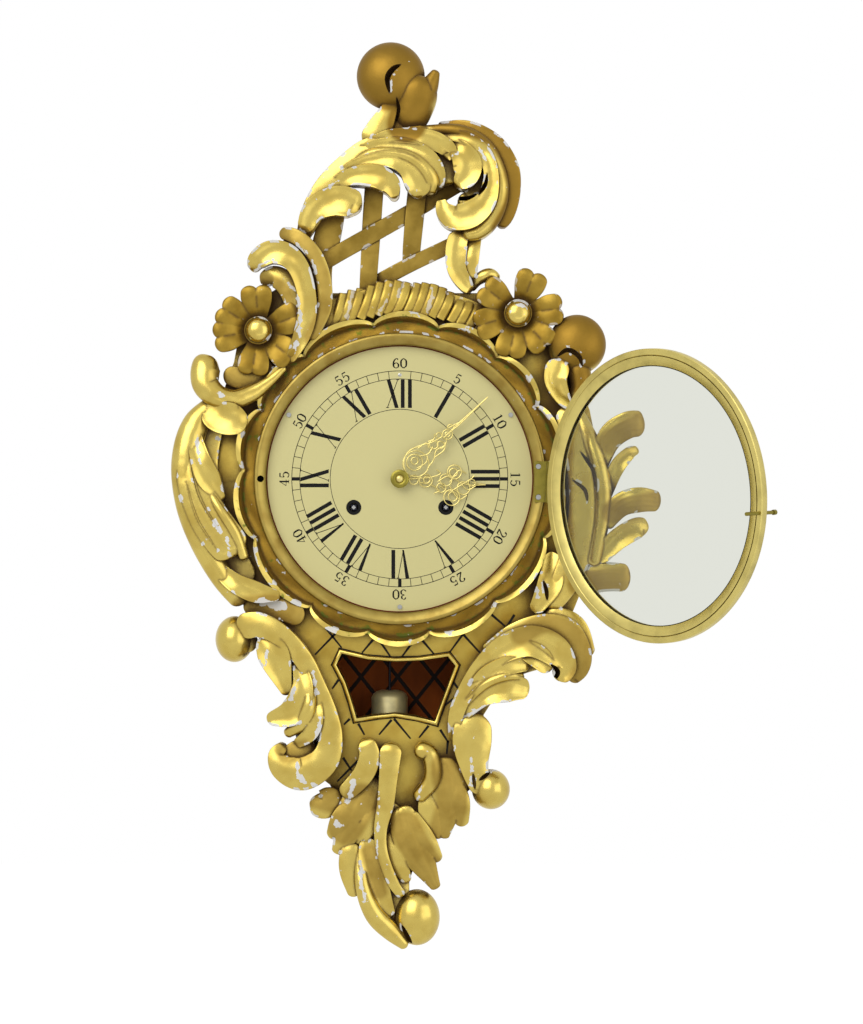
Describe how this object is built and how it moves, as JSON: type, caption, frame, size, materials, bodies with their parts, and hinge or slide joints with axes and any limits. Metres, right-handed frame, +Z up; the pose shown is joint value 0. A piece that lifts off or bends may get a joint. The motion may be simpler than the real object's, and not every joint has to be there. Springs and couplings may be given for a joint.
{
  "type": "wall clock",
  "caption": "Carved giltwood rococo wall clock with a round cream dial, a hinged brass and glass bezel, a pierced scroll crest and a pendulum seen through a window below the dial.",
  "frame": {"origin": "on the dial's axis at the wall plane, the centre of the wall_face mount", "axes": "+Z up, -Y towards the viewer out of the dial, +X to the viewer's right"},
  "size_m": [0.3834, 0.2398, 0.5977],
  "materials": {
    "burnished_gilt_wood": "burnished gilding on gesso",
    "matt_gilt_wood": "matt gilding on gesso",
    "brown_wood": "stained",
    "brass": "lacquered",
    "steel": "polished",
    "cream_dial": "cream enamel paint with black figures",
    "window_glass": "polished flat glass"
  },
  "bodies": {
    "case": {"rear_cover": "brown_wood", "hanger_plate": "steel", "back_box": "brown_wood", "case_board": "matt_gilt_wood", "lattice_board": "brown_wood", "window_frame": "burnished_gilt_wood", "dial_seat_ring": "burnished_gilt_wood", "ribbon_moulding": "burnished_gilt_wood", "fluted_band": "matt_gilt_wood", "crest_scroll": "burnished_gilt_wood", "crest_trellis": "matt_gilt_wood", "left_shoulder_scroll": "burnished_gilt_wood", "left_flower": "matt_gilt_wood", "left_flower_boss": "burnished_gilt_wood", "right_flower": "matt_gilt_wood", "right_flower_boss": "burnished_gilt_wood", "left_hook_scroll": "burnished_gilt_wood", "right_shoulder_bud": "burnished_gilt_wood", "left_side_leaf": "burnished_gilt_wood", "right_side_leaf": "burnished_gilt_wood", "lower_left_scroll": "burnished_gilt_wood", "lower_right_scroll": "burnished_gilt_wood", "drop_leaf": "burnished_gilt_wood", "hinge_leaf_case": "brass", "hinge_pin": "steel", "hinge_screw_1": "steel", "hinge_screw_2": "steel", "dial_plate": "cream_dial", "dial_pin_1": "steel", "dial_pin_2": "steel", "dial_pin_3": "steel", "front_plate": "brass", "back_plate": "brass", "movement_strap_upper": "steel", "movement_strap_lower": "steel", "suspension_cock": "brass", "rod_gong": "steel"},
    "door": {"bezel_ring": "brass", "bezel_glass": "window_glass", "glass_retainer": "brass", "hinge_leaf_door": "brass", "latch_pin": "brass"},
    "minute_arbor": {"centre_arbor": "steel", "minute_hand": "brass", "hand_nut": "brass"},
    "hour_pipe": {"hour_wheel": "brass", "hour_hand": "brass"},
    "minute_wheel": {"minute_wheel": "brass"},
    "second_wheel": {"second_wheel": "brass"},
    "third_wheel": {"third_wheel": "brass"},
    "going_barrel": {"going_barrel": "brass"},
    "strike_barrel": {"strike_barrel": "brass"},
    "going_winding": {"going_winding_arbor": "steel"},
    "strike_winding": {"strike_winding_arbor": "steel"},
    "escape_wheel": {"escape_wheel": "brass"},
    "pallets": {"pallets": "steel"},
    "pendulum": {"pendulum_rod": "steel", "pendulum_bob": "brass"},
    "hammer": {"strike_hammer": "steel"}
  },
  "joints": [
    {"name": "door_swing", "type": "hinge", "parent": "case", "child": "door", "pos_m": [0.09781, -0.09, -0.002], "axis": [0.0499, -0.0469, 0.9977], "range_deg": [-133.4, 0]},
    {"name": "minute_turn", "type": "hinge", "parent": "case", "child": "minute_arbor", "pos_m": [0, 0, 0], "axis": [0, 1, 0], "continuous": true},
    {"name": "hour_turn", "type": "hinge", "parent": "case", "child": "hour_pipe", "pos_m": [0, 0, 0], "axis": [0, 1, 0], "continuous": true},
    {"name": "minute_wheel_turn", "type": "hinge", "parent": "case", "child": "minute_wheel", "pos_m": [-0.01273, 0, 0.00735], "axis": [0, 1, 0], "continuous": true},
    {"name": "second_wheel_turn", "type": "hinge", "parent": "case", "child": "second_wheel", "pos_m": [-0.02026, 0, 0.00471], "axis": [0, 1, 0], "continuous": true},
    {"name": "third_wheel_turn", "type": "hinge", "parent": "case", "child": "third_wheel", "pos_m": [0.0078, 0, 0.01961], "axis": [0, 1, 0], "continuous": true},
    {"name": "going_barrel_turn", "type": "hinge", "parent": "case", "child": "going_barrel", "pos_m": [-0.0304, 0, -0.0188], "axis": [0, 1, 0], "continuous": true},
    {"name": "strike_barrel_turn", "type": "hinge", "parent": "case", "child": "strike_barrel", "pos_m": [0.0304, 0, -0.0188], "axis": [0, 1, 0], "continuous": true},
    {"name": "going_winding", "type": "hinge", "parent": "case", "child": "going_winding", "pos_m": [-0.0304, 0, -0.0188], "axis": [0, 1, 0], "continuous": true},
    {"name": "strike_winding", "type": "hinge", "parent": "case", "child": "strike_winding", "pos_m": [0.0304, 0, -0.0188], "axis": [0, 1, 0], "continuous": true},
    {"name": "escape_turn", "type": "hinge", "parent": "case", "child": "escape_wheel", "pos_m": [-0.0073, 0, 0.026], "axis": [0, 1, 0], "continuous": true},
    {"name": "pallets_rock", "type": "hinge", "parent": "case", "child": "pallets", "pos_m": [-0.0073, 0, 0.046], "axis": [0, 1, 0], "range_deg": [-4, 4]},
    {"name": "pendulum_swing", "type": "hinge", "parent": "case", "child": "pendulum", "pos_m": [-0.0073, 0, 0.046], "axis": [0, 1, 0], "range_deg": [-4, 4]},
    {"name": "hammer_swing", "type": "hinge", "parent": "case", "child": "hammer", "pos_m": [0.0211, 0, -0.04], "axis": [0, 1, 0], "range_deg": [-12, 0], "stiffness_Nm_per_rad": 0.05}
  ],
  "couplings": [
    {"joint": "hour_turn", "follows": "minute_turn", "ratio": 0.083333},
    {"joint": "minute_wheel_turn", "follows": "minute_turn", "ratio": -0.33333},
    {"joint": "second_wheel_turn", "follows": "minute_turn", "ratio": -0.25},
    {"joint": "going_barrel_turn", "follows": "minute_turn", "ratio": 0.041667},
    {"joint": "third_wheel_turn", "follows": "minute_turn", "ratio": -8},
    {"joint": "pallets_rock", "follows": "pendulum_swing", "ratio": 1}
  ]
}
